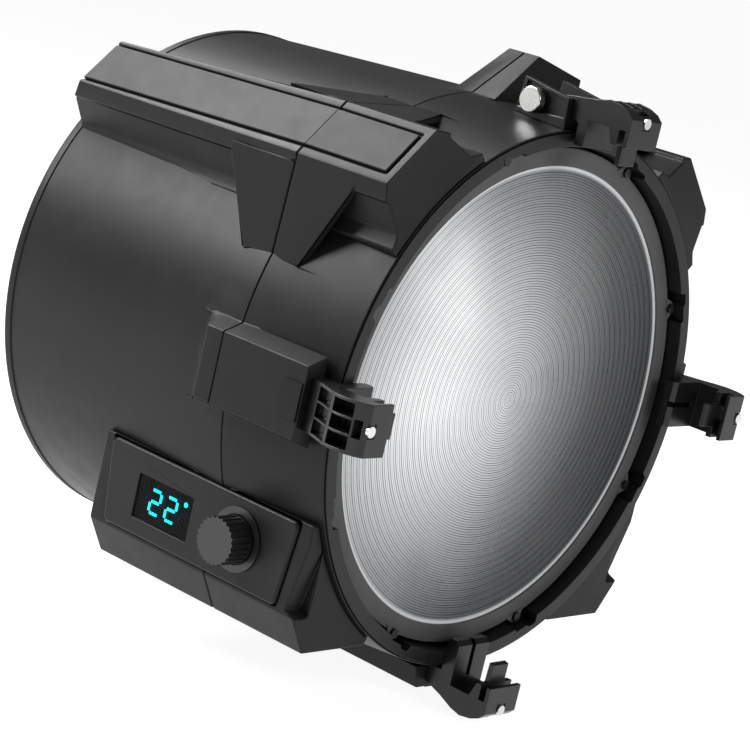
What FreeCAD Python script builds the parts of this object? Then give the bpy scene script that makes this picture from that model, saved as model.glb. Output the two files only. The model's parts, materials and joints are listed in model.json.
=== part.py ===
# Fresnel lens head of a studio spotlight: a drum with a 350 mm stepped lens and a motor-driven zoom.
#
# Frame: the optical axis is Y, the stepped lens faces -Y and the lamp couples on at the +Y end.
# +Z is up. The origin is the centre of the rear coupling ring's seating face.
# "Depth" below is always the distance behind the front face of the black ring.
import FreeCAD, Part
import math
import os
import Sketcher

doc = FreeCAD.newDocument("FresnelHead")
sheet = doc.addObject("Spreadsheet::Sheet", "Sizes")


class Size:
    """A number together with the sheet formula that gives it, so each formula is written once."""

    def __init__(self, text, value):
        self.text = text
        self.value = value

    def __add__(self, other):
        other = size(other)
        return Size("(%s + %s)" % (self.text, other.text), self.value + other.value)

    def __radd__(self, other):
        return size(other) + self

    def __sub__(self, other):
        other = size(other)
        return Size("(%s - %s)" % (self.text, other.text), self.value - other.value)

    def __rsub__(self, other):
        return size(other) - self

    def __mul__(self, other):
        other = size(other)
        return Size("(%s * %s)" % (self.text, other.text), self.value * other.value)

    def __rmul__(self, other):
        return size(other) * self

    def __truediv__(self, other):
        other = size(other)
        return Size("(%s / %s)" % (self.text, other.text), self.value / other.value)

    def __rtruediv__(self, other):
        return size(other) / self

    def __neg__(self):
        return Size("(-1 * %s)" % self.text, -self.value)


def size(number):
    """A plain number as a Size, or a Size unchanged."""
    if isinstance(number, Size):
        return number
    return Size("%s" % number if number >= 0 else "(%s)" % number, number)


def cosine(angle):
    return Size("cos(%s)" % angle.text, math.cos(math.radians(angle.value)))


def sine(angle):
    return Size("sin(%s)" % angle.text, math.sin(math.radians(angle.value)))


def root(square):
    return Size("sqrt(%s)" % square.text, math.sqrt(square.value))


TABLE = (
    # drum
    ("drum_length", 338.0), ("coupling_height", 12.0),
    ("nose_radius", 201.5), ("seam_radius", 208.0), ("tail_radius", 200.0),
    ("seam_depth", 93.5), ("seam_gap", 0.7), ("shell_wall", 3.0), ("nose_depth", 1.0),
    ("tail_lip_height", 1.0), ("tail_lip_length", 7.0), ("shell_fit", 0.3), ("seat_gap", 0.05),
    # front ring, bezel and lens
    ("ring_radius", 200.0), ("ring_opening", 190.0), ("ring_rim_depth", 8.0), ("ring_body_radius", 197.6),
    ("ring_depth", 27.0), ("ring_flange", 4.0), ("ring_flange_opening", 171.0), ("ring_draft", 1.6),
    ("lens_radius", 179.0), ("lens_front_depth", 13.2), ("lens_thickness", 8.0), ("lens_crown", 2.4),
    ("gasket_thickness", 1.8), ("gasket_width", 6.5),
    ("bezel_opening", 173.5), ("bezel_radius", 187.0), ("bezel_front_depth", 11.0), ("bezel_fit", 0.4),
    ("lug_count", 8.0), ("lug_reach", 5.0), ("lug_width", 20.0), ("lug_pocket_depth", 19.0),
    ("bezel_screw_pitch_radius", 187.6), ("bezel_screw_radius", 2.0), ("bezel_screw_head_radius", 3.6),
    ("bezel_screw_head_height", 2.4), ("bezel_screw_length", 9.0),
    # frame ring behind the parting line
    ("frame_ring_length", 26.0), ("frame_ring_wall", 7.0),
    # rails
    ("rail_angle", 45.0), ("rail_top", 241.0), ("rail_half", 27.0), ("rail_shoulder_half", 35.5),
    ("rail_shoulder_drop", 9.5), ("rail_foot_half", 46.5), ("rail_foot_drop", 37.0), ("rail_toe", 3.0),
    ("rail_side_half", 40.0), ("rail_side_inset", 2.0), ("rail_ledge", 4.0),
    ("rail_tail_drop", 9.0), ("rail_tail_share", 0.86), ("rail_front_depth", 2.0), ("rail_front_slope", 8.0),
    ("rail_end_inset", 4.0),
    ("rail_end_slope", 7.0), ("rail_end_height", 14.0), ("rail_wall", 3.0),
    ("wing_reach", 80.5), ("wing_drop", 50.0), ("wing_thickness", 4.0), ("wing_root_half", 31.0),
    ("wing_tip_front_reach", 24.5), ("wing_root_front_reach", 55.5), ("wing_tip_rear_reach", 28.2),
    ("wing_root_rear_reach", 61.5),
    ("insert_half", 18.4), ("insert_groove", 1.9), ("insert_recess", 2.6), ("insert_rise", 0.4),
    ("insert_front_depth", 18.5),
    # bracket housings moulded on the shells
    ("crest_angle", 13.4), ("crest_top", 241.0), ("crest_half", 27.0), ("crest_foot_half", 67.8),
    ("crest_foot", 195.9), ("crest_front_reach", 24.5), ("crest_front_slope", 11.0), ("crest_rear_reach", 15.5),
    ("crest_wall", 3.0),
    ("housing_face", 222.0), ("housing_half", 25.5), ("housing_foot_half", 32.0), ("housing_front_depth", 12.5),
    ("housing_rear_reach", 15.5), ("housing_rear_slope", 16.0), ("housing_root", 204.5),
    ("cover_half", 13.0), ("cover_front_depth", 14.0), ("cover_rear_depth", 32.0), ("cover_thickness", 1.2),
    ("cover_corner", 3.5),
    # control box and driver box
    ("box_side", 189.5), ("box_floor", 178.0), ("box_top", 84.5), ("box_bend", 151.0), ("box_bend_inset", 172.0),
    ("box_inner_end", 108.0), ("box_inner_drop", 18.0), ("box_inner_side", 172.0), ("box_front_depth", 5.0),
    ("box_rear_depth", 215.0), ("box_wall", 3.0), ("box_notch_length", 9.0), ("box_notch_depth", 15.0),
    ("box_notch_top", 97.0), ("box_notch_low", 152.0),
    ("panel_thickness", 4.5), ("panel_rise", 2.5), ("panel_front_depth", 16.0), ("panel_rear_depth", 206.0),
    ("panel_top", 86.0), ("panel_bottom", 148.0), ("panel_skew", 7.0), ("panel_corner", 5.0),
    ("panel_edge", 2.2), ("panel_fit", 0.2),
    ("window_front_depth", 115.0), ("window_rear_depth", 171.5), ("window_top", 103.0), ("window_bottom", 135.5),
    ("window_thickness", 1.2), ("window_sink", 1.0), ("display_depth", 8.3), ("board_thickness", 1.6),
    ("board_margin", 4.0), ("board_top", 107.0), ("digit_width", 10.0), ("digit_height", 17.0), ("digit_stroke", 2.0),
    ("digit_pitch", 16.5), ("digit_thickness", 0.4), ("digit_lean", 1.6),
    # rotary control
    ("knob_depth", 68.3), ("knob_height", 116.0), ("knob_radius", 17.0), ("knob_top_radius", 15.0),
    ("knob_length", 20.0), ("knob_travel", 1.0), ("knob_clearance", 0.6), ("knob_flutes", 24.0),
    ("flute_radius", 1.5), ("collar_radius", 23.0), ("collar_height", 1.6), ("collar_bore", 18.0),
    ("shaft_radius", 3.0), ("shaft_fit", 0.05), ("encoder_side", 14.0),
    ("bush_radius", 4.6), ("bush_length", 6.0),
    # accessory brackets
    ("bracket_half", 18.0), ("bracket_floor", 211.0), ("bracket_reach", 47.0), ("bracket_outer", 229.0),
    ("bracket_root_top", 178.0), ("bracket_root_front", 11.0), ("prong_top", 186.0), ("prong_depth", 38.2),
    ("prong_thickness", 4.0), ("end_wall", 3.4), ("end_wall_top", 199.8), ("prong_half", 9.0),
    ("rib_thickness", 1.6), ("rib_floor", 215.0), ("rib_rim", 2.2), ("window_half", 6.2),
    ("plunger_radius", 2.6), ("plunger_head", 3.8), ("plunger_height", 218.0), ("plunger_fit", 0.05),
    ("plunger_nose", 2.2), ("plunger_head_length", 2.0), ("plunger_sink", 1.0),
    # top latch
    ("cheek_half", 21.6), ("cheek_thickness", 3.0), ("latch_pin_depth", 33.0), ("latch_pin_height", 214.8),
    ("latch_pin_radius", 4.0), ("latch_pin_fit", 0.06), ("latch_head_radius", 9.3), ("latch_head_length", 7.0),
    ("latch_eye_radius", 6.4), ("latch_spring_radius", 5.6), ("latch_spring_wire", 0.9),
    ("latch_spring_half", 5.0), ("latch_spring_turns", 5.0), ("cheek_front_depth", 5.0), ("cheek_rear_depth", 46.0),
    ("cheek_top", 229.5), ("cheek_front_top", 222.5), ("cheek_rim", 2.4), ("cheek_rim_reach", 3.0),
    ("cheek_floor", 208.0), ("latch_gap", 0.4),
    # rear cover and coupling
    ("cover_plate_inset", 7.0), ("cover_plate_thickness", 5.0), ("light_opening", 78.0),
    ("coupling_radius", 104.0), ("coupling_spigot", 92.0), ("coupling_flange", 5.0),
    ("bayonet_count", 4.0), ("bayonet_reach", 7.0), ("bayonet_thickness", 4.0), ("bayonet_width", 30.0),
    ("coupling_pitch_radius", 98.0), ("coupling_screw_radius", 2.5), ("coupling_screw_head", 4.5),
    ("cover_flange_reach", 12.5), ("cover_flange", 4.0), ("cover_screw_inset", 7.9),
    ("cover_screw_radius", 2.0), ("cover_screw_head", 3.6), ("cover_screw_count", 8.0),
    ("contact_height", 14.0), ("contact_width", 34.0), ("contact_length", 10.0), ("contact_radius_place", 118.0),
    # zoom mechanism
    ("rod_radius", 5.0), ("rod_place_radius", 165.0), ("rod_angle", 60.0), ("rod_seat", 3.0),
    ("plate_depth", 46.0), ("plate_thickness", 6.0), ("plate_opening", 155.0),
    ("carriage_radius", 130.0), ("carriage_opening", 74.0), ("carriage_thickness", 6.0),
    ("carriage_rest_depth", 200.0), ("carriage_ear_half", 16.0), ("carriage_ear_reach", 180.0),
    ("slide_bush_radius", 8.5), ("rod_fit", 0.05), ("slide_bush_length", 26.0),
    ("zoom_lens_radius", 80.0), ("zoom_lens_edge", 5.0), ("zoom_lens_crown", 16.0), ("lens_cell_width", 8.0),
    ("lens_cell_lip", 2.0), ("lens_cell_reach", 4.5),
    ("screw_radius", 5.0), ("nut_radius", 11.0), ("nut_length", 22.0),
    ("screw_fit", 0.08), ("bearing_radius", 9.5), ("bearing_length", 7.0),
    ("motor_side", 42.0), ("motor_length", 40.0), ("motor_bore_depth", 8.0), ("screw_seat", 6.0),
    ("switch_length", 18.0), ("switch_width", 20.0), ("switch_height", 10.0),
)
for row, (alias, number) in enumerate(TABLE, start=1):
    sheet.set("A%d" % row, alias)
    sheet.set("B%d" % row, str(number))
    sheet.setAlias("B%d" % row, alias)
doc.recompute()
S = {alias: Size("Sizes.%s" % alias, number) for alias, number in TABLE}
S["rail_end_depth"] = S["drum_length"] - S["rail_end_inset"]
S["cover_plate_depth"] = S["drum_length"] - S["cover_plate_inset"]
S["wing_tip_front"] = S["seam_depth"] - S["wing_tip_front_reach"]
S["wing_root_front"] = S["seam_depth"] - S["wing_root_front_reach"]
S["wing_tip_rear"] = S["seam_depth"] + S["wing_tip_rear_reach"]
S["wing_root_rear"] = S["seam_depth"] + S["wing_root_rear_reach"]
S["crest_front_depth"] = S["seam_depth"] - S["crest_front_reach"]
S["crest_rear_depth"] = S["seam_depth"] + S["crest_rear_reach"]
S["housing_rear_depth"] = S["seam_depth"] + S["housing_rear_reach"]
FACE = -(S["drum_length"] + S["coupling_height"])


def at(depth):
    """Y of a place given by its depth behind the front face."""
    return FACE + depth


def nose_skin(depth):
    """Outer radius of the front shell at a depth."""
    rise = S["seam_radius"] - S["nose_radius"]
    return S["nose_radius"] + rise * size(depth) / S["seam_depth"]


def tail_skin(depth):
    """Outer radius of the rear shell at a depth."""
    fall = S["seam_radius"] - S["tail_radius"]
    return S["seam_radius"] - fall * (size(depth) - S["seam_depth"]) / (S["drum_length"] - S["seam_depth"])


pieces = []


class Piece:
    """One sub-part: a body with small helpers for the features that the head is made of."""

    def __init__(self, label, turn=None, move=None):
        self.body = doc.addObject("PartDesign::Body", label)
        self.body.Label = label
        self.body.AllowCompound = True
        self.turn = turn
        self.move = move
        self.volume = 0.0
        pieces.append(self)

    def plane(self, role):
        for feature in self.body.Origin.OriginFeatures:
            if feature.Role == role:
                return feature
        raise ValueError(role)

    def sketch(self, role, offset=None):
        made = self.body.newObject("Sketcher::SketchObject", "Outline")
        made.AttachmentSupport = (self.plane(role), [""])
        made.MapMode = "FlatFace"
        if offset is not None:
            offset = size(offset)
            made.AttachmentOffset = FreeCAD.Placement(FreeCAD.Vector(0, 0, offset.value), FreeCAD.Rotation())
            made.setExpression("AttachmentOffset.Base.z", offset.text)
        return made

    def pin(self, made, kind, index, point, length):
        number = made.addConstraint(Sketcher.Constraint(kind, -1, 1, index, point, length.value))
        made.setExpression("Constraints[%d]" % number, length.text)

    def polygon(self, made, points):
        """A closed outline through the points, each pinned to the sketch origin."""
        points = [(size(a), size(b)) for a, b in points]
        first = made.GeometryCount
        for start, end in zip(points, points[1:] + points[:1]):
            made.addGeometry(Part.LineSegment(FreeCAD.Vector(start[0].value, start[1].value, 0),
                                              FreeCAD.Vector(end[0].value, end[1].value, 0)))
        for index in range(len(points)):
            after = (index + 1) % len(points)
            made.addConstraint(Sketcher.Constraint("Coincident", first + index, 2, first + after, 1))
        for index, (across, up) in enumerate(points):
            self.pin(made, "DistanceX", first + index, 1, across)
            self.pin(made, "DistanceY", first + index, 1, up)

    def circle(self, made, across, up, radius):
        across, up, radius = size(across), size(up), size(radius)
        index = made.GeometryCount
        made.addGeometry(Part.Circle(FreeCAD.Vector(across.value, up.value, 0), FreeCAD.Vector(0, 0, 1),
                                     radius.value))
        self.pin(made, "DistanceX", index, 3, across)
        self.pin(made, "DistanceY", index, 3, up)
        number = made.addConstraint(Sketcher.Constraint("Radius", index, radius.value))
        made.setExpression("Constraints[%d]" % number, radius.text)

    def outline(self, role, shapes, offset=None):
        made = self.sketch(role, offset)
        for shape in shapes:
            if isinstance(shape, tuple):
                self.circle(made, *shape)
            else:
                self.polygon(made, shape)
        return made

    def feature(self, kind, made):
        grown = self.body.newObject(kind, kind.split("::")[1])
        grown.Profile = made
        return grown

    def finish(self, grows):
        """Rebuild, and stop if a feature that should add or remove material did nothing."""
        doc.recompute()
        volume = self.body.Shape.Volume
        if (volume - self.volume) * (1 if grows else -1) < 1e-3:
            raise ValueError("a feature of %s changed nothing" % self.body.Label)
        self.volume = volume

    def turned(self, points):
        """A solid of revolution about the optical axis; points are (y, radius)."""
        grown = self.feature("PartDesign::Revolution", made := self.outline("YZ_Plane", [points]))
        grown.ReferenceAxis = (made, ["H_Axis"])
        grown.Angle = 360.0
        self.finish(True)
        return grown

    def bored(self, points):
        """Material taken away by revolving the points (y, radius) about the optical axis."""
        grown = self.feature("PartDesign::Groove", made := self.outline("YZ_Plane", [points]))
        grown.ReferenceAxis = (made, ["H_Axis"])
        grown.Angle = 360.0
        self.finish(False)
        return grown

    def slab(self, shapes, front, rear):
        """Outlines in (x, z) that run from the front y to the rear y."""
        grown = self.feature("PartDesign::Pad", self.outline("XZ_Plane", shapes, -size(rear)))
        grown.setExpression("Length", (size(rear) - front).text)
        self.finish(True)
        return grown

    def slot(self, shapes, front, rear):
        """Outlines in (x, z) cut away from the front y to the rear y."""
        grown = self.feature("PartDesign::Pocket", self.outline("XZ_Plane", shapes, -size(front)))
        grown.setExpression("Length", (size(rear) - front).text)
        self.finish(False)
        return grown

    def wide(self, shapes, width):
        """Outlines in (y, z), as thick as the width and centred on x = 0."""
        grown = self.feature("PartDesign::Pad", self.outline("YZ_Plane", shapes))
        grown.SideType = "Symmetric"
        grown.setExpression("Length", size(width).text)
        self.finish(True)
        return grown

    def wide_cut(self, shapes, width):
        grown = self.feature("PartDesign::Pocket", self.outline("YZ_Plane", shapes))
        grown.SideType = "Symmetric"
        grown.setExpression("Length", size(width).text)
        self.finish(False)
        return grown

    def side(self, shapes, low, high):
        """Outlines in (y, z) that run from the low x to the high x."""
        grown = self.feature("PartDesign::Pad", self.outline("YZ_Plane", shapes, low))
        grown.setExpression("Length", (size(high) - low).text)
        self.finish(True)
        return grown

    def side_cut(self, shapes, low, high):
        grown = self.feature("PartDesign::Pocket", self.outline("YZ_Plane", shapes, high))
        grown.setExpression("Length", (size(high) - low).text)
        self.finish(False)
        return grown

    def rise_cut(self, shapes, low, high):
        """Outlines in (x, y) cut away from the high z down to the low z."""
        grown = self.feature("PartDesign::Pocket", self.outline("XY_Plane", shapes, high))
        grown.setExpression("Length", (size(high) - low).text)
        self.finish(False)
        return grown

    def rise(self, shapes, low, high):
        """Outlines in (x, y) that run from the low z up to the high z."""
        grown = self.feature("PartDesign::Pad", self.outline("XY_Plane", shapes, low))
        grown.setExpression("Length", (size(high) - low).text)
        self.finish(True)
        return grown

    def loft(self, front_shape, front, rear_shape, rear):
        """A solid between two outlines in (x, z) that have the same number of points."""
        grown = self.feature("PartDesign::AdditiveLoft", self.outline("XZ_Plane", [front_shape], -size(front)))
        grown.Sections = [self.outline("XZ_Plane", [rear_shape], -size(rear))]
        grown.Ruled = True
        self.finish(True)
        return grown

    def polar(self, features, count):
        """The features repeated evenly about the optical axis."""
        grown = self.body.newObject("PartDesign::PolarPattern", "Pattern")
        grown.Originals = features
        grown.Axis = (self.plane("Y_Axis"), [""])
        grown.Angle = 360.0
        grown.setExpression("Occurrences", count.text)
        self.body.Tip = grown
        before = self.volume
        doc.recompute()
        self.volume = self.body.Shape.Volume
        if abs(self.volume - before) < 1e-3:
            raise ValueError("a pattern of %s changed nothing" % self.body.Label)
        return grown

    def rounded(self, radius, wanted):
        """A fillet on every edge whose ends satisfy wanted(first, last)."""
        names = []
        for number, edge in enumerate(self.body.Shape.Edges, start=1):
            ends = [vertex.Point for vertex in edge.Vertexes]
            if len(ends) == 2 and wanted(ends[0], ends[1]):
                names.append("Edge%d" % number)
        if not names:
            raise ValueError("no edge to round on %s" % self.body.Label)
        base = self.body.Tip
        grown = self.body.newObject("PartDesign::Fillet", "Rounding")
        grown.Base = (base, names)
        grown.setExpression("Radius", size(radius).text)
        self.finish(False)
        return grown

    def place(self):
        if self.turn is not None:
            turn = size(self.turn)
            about_axis = FreeCAD.Rotation(FreeCAD.Vector(0, 1, 0), turn.value)
            self.body.Placement = FreeCAD.Placement(FreeCAD.Vector(), about_axis)
            self.body.setExpression("Placement.Rotation.Angle", turn.text)
        for axis, distance in zip("xyz", self.move or ()):
            if distance is not None:
                self.body.setExpression("Placement.Base.%s" % axis, distance.text)


def mirrored(points):
    """The same outline on the other side of x = 0."""
    return [(-size(x), z) for x, z in reversed(points)]


def oblong(y_low, y_high, z_low, z_high):
    return [(y_low, z_low), (y_high, z_low), (y_high, z_high), (y_low, z_high)]


seam = S["seam_depth"]
wall = S["shell_wall"]
seam_front = at(seam - S["seam_gap"] / 2)
seam_rear = at(seam + S["seam_gap"] / 2)
tail_inner = S["tail_radius"] - wall
cover_opening = S["tail_radius"] - S["cover_flange_reach"]
cover_screw_place = S["tail_radius"] - S["cover_screw_inset"]


# ---- drum shells ---------------------------------------------------------------------------------

def turn_quarter(side, points):
    """An outline given as (tangential, radial), set on the left, right or bottom of the drum."""
    if side == "left":
        return [(-radial, along) for along, radial in points]
    if side == "right":
        return [(radial, -along) for along, radial in points]
    return [(-along, -radial) for along, radial in points]


SIDES = ("left", "right", "bottom")


def housing(face, half):
    return [(half, face), (-half, face), (-S["housing_foot_half"], S["housing_root"]),
            (S["housing_foot_half"], S["housing_root"])]


def crest(margin):
    """Section of the crest behind the top latch, which stands a little to the right of the middle."""
    turn = S["crest_angle"]
    top = S["crest_top"] - margin
    foot = S["crest_foot"] - margin * 2
    half = S["crest_half"] - margin
    wide = S["crest_foot_half"] - margin
    return [(along * cosine(turn) + radial * sine(turn), radial * cosine(turn) - along * sine(turn))
            for along, radial in ((-half, top), (half, top), (half - 2.0, foot), (-wide, foot))]


def front_shell():
    piece = Piece("front_shell")
    crest_front = S["crest_front_depth"]
    crest_slope = S["crest_front_slope"]
    reach = S["crest_top"] + 3.0
    piece.slab([crest(size(0))], at(crest_front), seam_front)
    piece.wide_cut([[(at(crest_front - 1.0), S["crest_foot"] - 20.0), (at(crest_front), S["crest_foot"] - 20.0),
                     (at(crest_front), S["crest_foot"]), (at(crest_front + crest_slope), reach),
                     (at(crest_front - 1.0), reach)]], S["seam_radius"] * 2)
    step = S["ring_rim_depth"] + S["shell_fit"]
    bore = S["ring_radius"] + S["shell_fit"]
    piece.turned([
        (at(S["nose_depth"]), nose_skin(S["nose_depth"])), (seam_front, nose_skin(seam)),
        (seam_front, nose_skin(seam) - wall), (at(step), nose_skin(step) - wall), (at(step), bore),
        (at(S["nose_depth"]), bore)])
    for side in SIDES:
        shape = turn_quarter(side, housing(S["housing_face"], S["housing_half"]))
        piece.slab([shape], at(S["housing_front_depth"]), seam_front)
    piece.bored([(at(step), 0), (seam_front, 0), (seam_front, nose_skin(seam) - wall),
                 (at(step), nose_skin(step) - wall)])
    hollow = S["crest_wall"]
    piece.slot([crest(hollow)], at(crest_front + crest_slope + hollow), seam_front)


def rear_shell():
    piece = Piece("rear_shell")
    lip = at(S["drum_length"] - S["tail_lip_length"])
    lip_radius = S["tail_radius"] + S["tail_lip_height"]
    end = at(S["drum_length"])
    seat = at(S["cover_plate_depth"])
    flange = at(S["cover_plate_depth"] - S["cover_flange"])
    piece.turned([
        (seam_rear, tail_skin(seam)), (lip, tail_skin(S["drum_length"] - S["tail_lip_length"])),
        (lip, lip_radius), (end, lip_radius), (end, tail_inner), (seat, tail_inner),
        (seat, cover_opening), (flange, cover_opening), (flange, tail_inner),
        (seam_rear, tail_skin(seam) - wall)])
    rear = S["housing_rear_depth"]
    toe = rear + S["housing_rear_slope"]
    for side in SIDES:
        shape = turn_quarter(side, housing(S["housing_face"], S["housing_half"]))
        piece.slab([shape], seam_rear, at(rear))
        piece.loft(shape, at(rear), turn_quarter(side, housing(tail_skin(toe), S["housing_half"])), at(toe))
    piece.slab([crest(size(0))], seam_rear, at(S["crest_rear_depth"]))
    piece.bored([(seam_rear, 0), (at(toe), 0), (at(toe), tail_skin(toe) - wall),
                 (seam_rear, tail_skin(seam) - wall)])
    piece.slot([crest(S["crest_wall"])], seam_rear, at(S["crest_rear_depth"] - S["crest_wall"]))
    screw_ring(piece, cover_screw_place, S["cover_screw_radius"] + S["shell_fit"], S["cover_screw_count"],
               flange, seat)


def screw_ring(piece, place, radius, count, front, rear):
    """Holes evenly about the optical axis."""
    hole = piece.slot([(size(0), place, radius)], front, rear)
    piece.polar([hole], count)


def frame_ring():
    """The ring inside that both shells are screwed to; it closes the parting line."""
    piece = Piece("frame_ring")
    half = S["frame_ring_length"] / 2
    gap = S["seat_gap"]
    piece.turned([
        (at(seam - half), nose_skin(seam - half) - wall - gap), (at(seam), S["seam_radius"] - wall - gap),
        (at(seam + half), tail_skin(seam + half) - wall - gap),
        (at(seam + half), tail_skin(seam + half) - wall - S["frame_ring_wall"]),
        (at(seam - half), nose_skin(seam - half) - wall - S["frame_ring_wall"])])


# ---- front ring, bezel and lens ------------------------------------------------------------------

def around(angle, along, radial):
    """(x, z) of a place given along and out from a direction turned from the top."""
    return (radial * sine(angle) + along * cosine(angle), radial * cosine(angle) - along * sine(angle))


lug_angle = 180.0 / S["lug_count"]
flange_front = S["ring_depth"] - S["ring_flange"]


def front_ring():
    piece = Piece("front_ring")
    piece.turned([
        (at(0), S["ring_opening"]), (at(0), S["ring_radius"]), (at(S["ring_rim_depth"]), S["ring_radius"]),
        (at(S["ring_rim_depth"]), S["ring_body_radius"]), (at(S["ring_depth"]), S["ring_body_radius"]),
        (at(S["ring_depth"]), S["ring_flange_opening"]), (at(flange_front), S["ring_flange_opening"]),
        (at(flange_front), S["ring_opening"] - S["ring_draft"])])
    reach = S["ring_opening"] + S["lug_reach"]
    low = S["ring_opening"] - S["lug_reach"]
    half = S["lug_width"] / 2
    notch = [(-half * 1.6, low), (-half * 1.2, reach), (-half * 0.5, reach),
             (-half * 0.2, reach - S["lug_reach"] / 2), (half, reach - S["lug_reach"] / 2), (half * 1.2, low)]
    pocket = piece.slot([[around(lug_angle, size(t), r) for t, r in notch]], at(0), at(flange_front))
    place = around(lug_angle, size(0), S["bezel_screw_pitch_radius"])
    hole = piece.slot([place + (S["bezel_screw_radius"] + S["seat_gap"],)], at(flange_front), at(S["ring_depth"]))
    piece.polar([pocket, hole], S["lug_count"])


def lens_bezel():
    piece = Piece("lens_bezel")
    inner = S["lens_radius"] + S["bezel_fit"]
    lip = S["lens_front_depth"] - S["seat_gap"]
    piece.turned([
        (at(S["bezel_front_depth"]), S["bezel_opening"]), (at(S["bezel_front_depth"]), S["bezel_radius"]),
        (at(flange_front), S["bezel_radius"]), (at(flange_front), inner), (at(lip), inner),
        (at(lip), S["bezel_opening"])])
    half = S["lug_width"] / 2
    low = S["bezel_radius"] - S["lug_reach"] / 2
    high = S["bezel_screw_pitch_radius"] + S["lug_reach"] * 0.85
    lug = [(-half * 1.0, low), (-half * 0.35, high), (half * 0.35, high), (half, low)]
    front = S["bezel_front_depth"] - S["nose_depth"]
    ear = piece.slab([[around(lug_angle, size(t), r) for t, r in lug]], at(front), at(flange_front))
    place = around(lug_angle, size(0), S["bezel_screw_pitch_radius"])
    hole = piece.slot([place + (S["bezel_screw_radius"] + S["seat_gap"],)], at(front), at(flange_front))
    piece.polar([ear, hole], S["lug_count"])


def bezel_screws():
    piece = Piece("bezel_screws")
    place = around(lug_angle, size(0), S["bezel_screw_pitch_radius"])
    seat = S["bezel_front_depth"] - S["nose_depth"]
    head = piece.slab([place + (S["bezel_screw_head_radius"],)], at(seat - S["bezel_screw_head_height"]), at(seat))
    shank = piece.slab([place + (S["bezel_screw_radius"],)], at(seat), at(S["ring_depth"] - S["nose_depth"]))
    piece.polar([head, shank], S["lug_count"])


def fresnel_lens():
    """The stepped lens as a plain disc with its slight crown; its fine steps are too small to matter here."""
    piece = Piece("fresnel_lens")
    back = at(S["lens_front_depth"] + S["lens_thickness"])
    rings = 6
    crown = []
    for ring in range(rings):
        share = ring / float(rings - 1)
        crown.append((at(S["lens_front_depth"] - S["lens_crown"] * (1.0 - share * share)),
                      S["bezel_opening"] * share))
    crown.append((at(S["lens_front_depth"]), S["lens_radius"]))
    piece.turned([(back, 0)] + crown + [(back, S["lens_radius"])])


def lens_gasket():
    piece = Piece("lens_gasket")
    front = at(S["lens_front_depth"] + S["lens_thickness"])
    low = S["lens_radius"] - S["gasket_width"]
    piece.turned([(front, low), (front, S["lens_radius"]), (at(flange_front), S["lens_radius"]),
                  (at(flange_front), low)])


# ---- rails ---------------------------------------------------------------------------------------

def rail_section(drop, share):
    """Half-section points of a rail from its top corner to its toe, then the mirror image."""
    top = S["rail_top"] - drop
    foot = top - S["rail_foot_drop"]
    shoulder = top - S["rail_shoulder_drop"]
    ledge = foot + S["rail_ledge"]
    toe = S["rail_foot_half"] + S["rail_toe"]
    right = [(S["rail_half"] * share, top), (S["rail_shoulder_half"] * share, shoulder),
             ((S["rail_shoulder_half"] - S["rail_side_inset"]) * share, shoulder - S["rail_side_inset"]),
             (S["rail_side_half"] * share, ledge), (S["rail_foot_half"] * share, foot),
             (toe * share, foot - 1.0), (toe * share, foot - S["rail_shoulder_drop"])]
    return right + mirrored(right)


def rail_cavity(drop, share):
    thick = S["rail_wall"]
    top = S["rail_top"] - drop - thick - S["insert_recess"]
    foot = S["rail_top"] - drop - S["rail_foot_drop"] - S["rail_shoulder_drop"]
    shoulder = (S["rail_shoulder_half"] - S["rail_side_inset"]) * share - thick
    right = [(S["rail_half"] * share - thick, top), (shoulder, top - S["rail_shoulder_drop"]),
             (S["rail_side_half"] * share - thick, foot)]
    return right + mirrored(right)


def wing(sign):
    """Section of one skirt beside the parting line."""
    root_z = S["rail_top"] - S["rail_shoulder_drop"] * (S["wing_root_half"] - S["rail_half"]) / (
        S["rail_shoulder_half"] - S["rail_half"])
    tip_z = S["rail_top"] - S["wing_drop"]
    thick = S["wing_thickness"]
    points = [(S["wing_root_half"], root_z), (S["wing_reach"], tip_z), (S["wing_reach"] - thick * 0.7, tip_z - thick),
              (S["wing_root_half"], root_z - thick * 1.4)]
    return points if sign > 0 else mirrored(points)


def insert_line(depth):
    """Height of a rail's top at a depth."""
    return S["rail_top"] - S["rail_tail_drop"] * (size(depth) - seam) / (S["rail_end_depth"] - seam)


def drum_cut(piece, front, rear):
    """Seat a piece on the outside of the drum between two depths."""
    gap = S["seat_gap"]
    if rear.value <= seam.value:
        piece.bored([(at(front), 0), (at(rear), 0), (at(rear), nose_skin(rear) + gap),
                     (at(front), nose_skin(front) + gap)])
    else:
        piece.bored([(at(front), 0), (at(rear), 0), (at(rear), tail_skin(rear) + gap),
                     (at(front), tail_skin(front) + gap)])


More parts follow.
